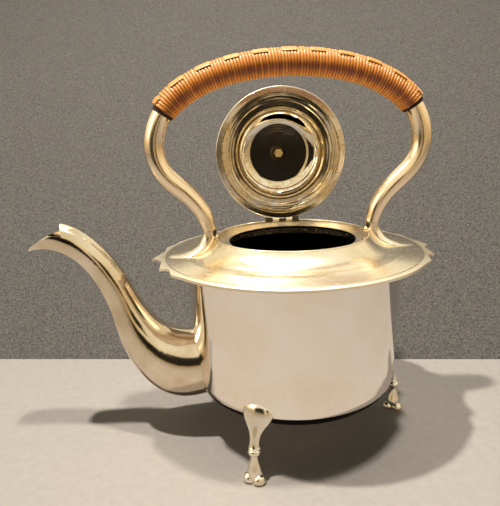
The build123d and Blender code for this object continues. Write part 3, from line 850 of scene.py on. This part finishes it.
    def end_thread(self, side: int, material: Material) -> Object:
        """Build the thread that binds one end.

        Args:
            side: 1 on the tail side, -1 on the spout side.
            material: The thread's finish.

        Returns:
            Turns of thread as a surface: radius = bed + height |sin(pi turns)|^p.
        """
        start = self.line.wrap_end()
        stop = start + self.line.binding_width
        first, last = sorted((side * start, side * stop))
        distance, points, run = self.line.sampled(self.thread_grid, first, last)
        angle = np.linspace(0, 2 * np.pi, self.thread_grid, endpoint=False)
        turns = (distance[:, None] - first) / self.thread_pitch - angle[None, :] / (2 * np.pi)
        radius = self.thread_bed + self.thread_height * np.abs(np.sin(np.pi * turns)) ** self.thread_power
        edge = np.clip(np.minimum(distance - first, last - distance) / self.thread_end_length, 0, 1)[:, None]
        radius = self.thread_end_radius + (radius - self.thread_end_radius) * edge
        where = "tail" if side > 0 else "spout"
        mesh = ring_mesh(f"end_thread_{where}", around(points, run, np.broadcast_to(angle, radius.shape), radius) * MM)
        return place_piece(f"end_thread_{where}_side", mesh, material, "kettle",
                           (f"cane_binding_{where}_side",))

    def build(self) -> list[Object]:
        """Build the grip.

        Returns:
            Its four pieces.
        """
        cane = SplitCane("varnished_split_cane").build()
        thread = WaxedThread("black_waxed_thread").build()
        return [self.wound_straps(cane), self.woven_strand(cane),
                self.end_thread(1, thread), self.end_thread(-1, thread)]


# ------------------------------------------------------------------ the metal pieces
@dataclass
class KettleMetal:
    """Finishes for the silver-plated vessel, its spout and strainer, feet, handle and hinge."""

    bowl: tuple[str, ...] = ("kettle_body",)
    shoulder: tuple[str, ...] = ("shoulder_brim", "mouth_collar", "handle_leaf_tail_side", "handle_leaf_spout_side")
    spout: tuple[str, ...] = ("spout",)
    castings: tuple[str, ...] = ("foot_tail", "foot_rear", "foot_front")
    handle: tuple[str, ...] = ("handle_frame", "solder_bead_tail_side", "solder_bead_spout_side")
    dulled: tuple[str, ...] = ("hinge_plate", "hinge_pin", "spout_strainer")
    border: Turning = Turning((0.0, 0.0, 0.0), (0, 1), ((0.0, 5.0), (56.0, 5.0), (60.0, 4.6), (71.4, 1.6), (72.1, 1.8),
                                                        (72.8, 1.4), (74.6, 0.8), (80.0, 0.0)), worn_from=72.0)

    def build(self) -> None:
        """Dress the CAD nodes of the vessel."""
        groups = (
            (self.bowl, SilverPlate("silver_plate_bowl", silver="#F7EFE7", bloom="#E2C496", wave_mm=26,
                                    wave_depth_mm=0.035, lining=Lining.BOWL)),
            (self.shoulder, SilverPlate("silver_plate_satin", silver="#FBF0DC", gloss=0.24, wave_mm=18,
                                        wave_depth_mm=0.06, bloom_share=0.6, lining=Lining.MOUTH, turning=self.border)),
            # painted shade: the spout's silver and bloom are darker than the rest, standing for the dark reflections
            # along it
            (self.spout, SilverPlate("silver_plate_raised", silver="#EADCC6", bloom="#A88A54", gloss=0.12, wave_mm=16,
                                     wave_depth_mm=0.05, bloom_share=0.6)),
            (self.castings, SilverPlate("silver_plate_cast", wave_mm=6, wave_depth_mm=0.04, gloss=0.16,
                                        bloom_mm=8, bloom_share=0.6)),
            # painted light: the handle's silver is paler and warmer than the rest, standing for the cream reflections
            # on its legs
            (self.handle, SilverPlate("silver_plate_tube", silver="#FFEACC", gloss=0.2, wave_mm=14, wave_depth_mm=0.04,
                                      bloom_share=0.3)),
            (self.dulled, SilverPlate("silver_plate_dull", silver="#5E5240", bloom="#3A2E1E", gloss=0.35,
                                      bloom_mm=5, bloom_share=0.7)),
        )
        for names, finish in groups:
            material = finish.build()
            for name in names:
                dress(name, material)


@dataclass
class LidMetal:
    """Finishes for the lid, its bezel, its knob and the knob's fixing; places are for the open lid, in millimetres."""

    sheet: tuple[str, ...] = ("lid_cover", "lid_bezel", "finial_foot", "lid_leaf")
    fixing: tuple[str, ...] = ("finial_nut", "finial_screw")
    centre: tuple[float, float, float] = (0.0, 41.0, 159.1)
    stained_towards: tuple[float, float, float] = (0.0, 28.0, 159.1)
    bevel_profile: tuple[tuple[float, float], ...] = ((0.0, 2.0), (7.0, 2.0), (37.0, 2.0), (37.3, 1.97), (40.4, 1.6))
    ring_profile: tuple[tuple[float, float], ...] = ((0.0, 0.4), (2.9, 0.4), (3.15, 0.6), (3.45, 0.6), (3.7, 0.4),
                                                     (4.8, 0.4))

    def build(self) -> None:
        """Dress the CAD nodes of the lid."""
        bevel = Turning(self.centre, (0, 2), self.bevel_profile, worn_from=37.0, worn_gloss=0.24)
        polished = SilverPlate("silver_plate_lid", wave_mm=9, wave_depth_mm=0.05, bloom_mm=14, bloom_share=0.4,
                               stained_towards=self.stained_towards, turning=bevel).build()
        ring = Turning(self.centre, (0, 2), self.ring_profile, span=10.0, depth=1.0)
        # painted shade: the washer's silver is darkened to stand for the dark ring of shade round the nut
        dress("finial_washer", SilverPlate("silver_plate_washer", silver="#6E6045", bloom="#4A3E28", gloss=0.15,
                                           turning=ring).build())
        brass = WornBrass("steam_dulled_brass").build()
        for name in self.sheet:
            dress(name, polished)
        for name in self.fixing:
            dress(name, brass)
        dress("lid_finial", EbonisedWood("ebonised_pear_wood").build())


# ------------------------------------------------------------------ the studio
@dataclass(frozen=True)
class Viewpoint:
    """Where the camera stands, in millimetres, and its lens."""

    stand: tuple[float, float, float] = (-42.22, -283.96, 178.41)
    right: tuple[float, float, float] = (0.9964, -0.0769, -0.037)
    up: tuple[float, float, float] = (0.0545, 0.2408, 0.969)
    lens: float = 36.695
    shift: tuple[float, float] = (-0.00425, -0.00063)

    def build(self) -> Object:
        """Make the camera the scene's own.

        Returns:
            The camera.
        """
        data = bpy.data.cameras.new("camera")
        data.lens = self.lens
        data.shift_x, data.shift_y = self.shift
        data.clip_start, data.clip_end = 0.01, 20.0
        right, up = Vector(self.right).normalized(), Vector(self.up)
        back = right.cross(up).normalized()
        up = back.cross(right)
        turned = Matrix((right, up, back)).transposed().to_4x4()
        camera = bpy.data.objects.new("camera", data)
        camera.matrix_world = Matrix.Translation(Vector(self.stand) * MM) @ turned
        bpy.context.scene.collection.objects.link(camera)
        bpy.context.scene.camera = camera
        return camera


@dataclass(frozen=True)
class SoftBox:
    """A soft area lamp that looks at a point, in metres and watts."""

    name: str
    place: tuple[float, float, float]
    size: tuple[float, float]
    power: float
    colour: str
    target: tuple[float, float, float] = (0.0, 0.0, 0.09)
    for_metal: bool = False

    def build(self) -> Object:
        """Make the lamp; one for metal shows in metal but leaves matt surfaces and their shadows alone.

        Returns:
            The lamp.
        """
        data = bpy.data.lights.new(self.name, "AREA")
        data.shape = "RECTANGLE"
        data.size, data.size_y = self.size
        data.energy = self.power
        data.color = linear(self.colour)[:3]
        lamp = bpy.data.objects.new(self.name, data)
        aim = Vector(self.target) - Vector(self.place)
        lamp.matrix_world = Matrix.Translation(Vector(self.place)) @ aim.to_track_quat("-Z", "Y").to_matrix().to_4x4()
        lamp.visible_diffuse = not self.for_metal
        bpy.context.scene.collection.objects.link(lamp)
        return lamp


@dataclass
class Studio:
    """Floor, backdrop, soft lamps and the room's own light, in metres.

    Each black card is y, left, right, low edge and top; only metal shows the cards.
    """

    wall_y: float = 0.0815
    wall_slope: float = 0.155
    wall_height: float = 0.37
    wall_lean: float = 1.2
    wall_reach: float = 0.5
    cards: tuple[tuple[float, float, float, float, float], ...] = ((-0.42, -0.01, 0.135, 0.11, 0.235),
                                                                   (-0.42, -0.5, -0.09, 0.06, 0.27))
    table: tuple[float, float, float, float] = (1.6, 1.6, 1.1, 0.9)
    table_height: float = 0.75
    reach: float = 3.0
    lamps: tuple[SoftBox, ...] = (
        SoftBox("right_lamp", (0.13, -0.2, 1.2), (0.06, 0.06), 6.6, "#FFF4E4"),
        SoftBox("left_lamp", (-0.3, -0.15, 1.2), (0.04, 0.04), 10.4, "#FFF4E4"),
        SoftBox("left_panel", (-0.36, 0.0, 0.9), (0.3, 0.4), 3.2, "#FFF8EA", for_metal=True),
        SoftBox("left_window", (-1.1, -0.35, 0.6), (0.8, 0.6), 2.2, "#FFF1D8", for_metal=True),
        SoftBox("overhead_panel", (-0.04, 0.4, 1.0), (0.32, 0.8), 2.0, "#FFF4E0", for_metal=True),
    )
    dome: tuple[tuple[float, str], ...] = ((0.0, "#C4AA80"), (0.12, "#EAD0A2"), (0.3, "#FFF0CA"), (0.6, "#FFF6DA"),
                                           (1.0, "#FFF6E0"))
    matt_share: float = 0.08

    def plane(self, name: str, corners: list[tuple[float, float, float]], material: Material,
              visible: bool = True) -> None:
        """Add a flat staged surface.

        Args:
            name: Its name.
            corners: Its four corners.
            material: Its finish.
            visible: Whether the camera sees it directly; metal mirrors it either way.
        """
        mesh = bpy.data.meshes.new(name)
        mesh.from_pydata(corners, [], [(0, 1, 2, 3)])
        mesh.materials.append(material)
        surface = bpy.data.objects.new(name, mesh)
        bpy.context.scene.collection.objects.link(surface)
        surface.visible_camera = visible

    def level(self, name: str, extent: tuple[float, float, float, float], height: float, material: Material) -> None:
        """Add a level staged surface.

        Args:
            name: Its name.
            extent: How far it reaches to -X, +X, -Y and +Y.
            height: Its Z.
            material: Its finish.
        """
        left, right, front, back = extent
        corners = [(-left, -front, height), (right, -front, height), (right, back, height), (-left, back, height)]
        self.plane(name, corners, material)

    def surroundings(self) -> None:
        """Light the room from a dome: tan at eye level, as a room is, and cream overhead.

        The camera and metal see the dome at its full strength; matt surfaces get a small share of it, so
        the lamps lead.
        """
        world = bpy.data.worlds.new("room")
        bpy.context.scene.world = world
        world.use_nodes = True
        tree = world.node_tree
        tree.nodes.clear()
        way = add_node(tree, "ShaderNodeTexCoord").outputs["Generated"]
        parts = add_node(tree, "ShaderNodeSeparateXYZ", {0: way}).outputs
        dome = add_node(tree, "ShaderNodeValToRGB", {0: parts[2]}, stops=self.dome).outputs["Color"]
        ray = add_node(tree, "ShaderNodeLightPath").outputs
        seen = ray["Is Camera Ray"]
        for kind in ("Is Glossy Ray", "Is Transmission Ray"):
            seen = add_node(tree, "ShaderNodeMath", {0: seen, 1: ray[kind]}, operation="MAXIMUM").outputs[0]
        level = add_node(tree, "ShaderNodeMath", {0: seen, 1: 1.0 - self.matt_share, 2: self.matt_share},
                         operation="MULTIPLY_ADD").outputs[0]
        sky = add_node(tree, "ShaderNodeBackground", {"Color": dome, "Strength": level}).outputs[0]
        add_node(tree, "ShaderNodeOutputWorld", {"Surface": sky})

    def build(self) -> None:
        """Build the floor, the backdrop, the lamps and the room."""
        reach, rail = self.reach, self.wall_height
        cloth = StudioCloth("pale_table_cloth", "#BEBAB7", "#CAC6C3").build()
        boards = StudioCloth("dim_room_floor", "#2A231C", "#3A3026", mottle_mm=60).build()
        wall = StudioCloth("grey_backdrop_felt", "#3C3C40", "#8C8A86", mottle_mm=1.6, one_sided=True).build()
        self.level("table_top", self.table, 0.0, cloth)
        self.level("room_floor", (reach, reach, reach, reach), -self.table_height, boards)
        side = self.wall_reach
        left_y, right_y = (self.wall_y - end * side * self.wall_slope for end in (-1, 1))
        lean = rail * self.wall_lean
        self.plane("backdrop", [(-side, left_y, 0), (side, right_y, 0), (side, right_y + lean, rail),
                                (-side, left_y + lean, rail)], wall)
        black = StudioCloth("black_card", "#14110E", "#1C1814", mottle_mm=40, one_sided=True).build()
        for number, (front, left, right, low, top) in enumerate(self.cards):
            self.plane(f"black_card_{number}", [(right, front, low), (left, front, low), (left, front, top),
                                                (right, front, top)], black, visible=False)
        for lamp in self.lamps:
            lamp.build()
        self.surroundings()


def main() -> None:
    """Build the camera, the studio and each sub-assembly in order."""
    logging.basicConfig(level=logging.INFO, format="%(name)s: %(message)s")
    scene = bpy.context.scene
    scene.view_settings.view_transform = "Standard"
    Viewpoint().build()
    Studio().build()
    LOG.info("camera and studio")
    KettleMetal().build()
    LOG.info("vessel, feet, handle and hinge dressed")
    LidMetal().build()
    LOG.info("lid dressed")
    for piece in CaneGrip(GripLine()).build():
        LOG.info("%s: %d faces", piece.name, len(piece.data.polygons))


if __name__ == "__main__":
    main()
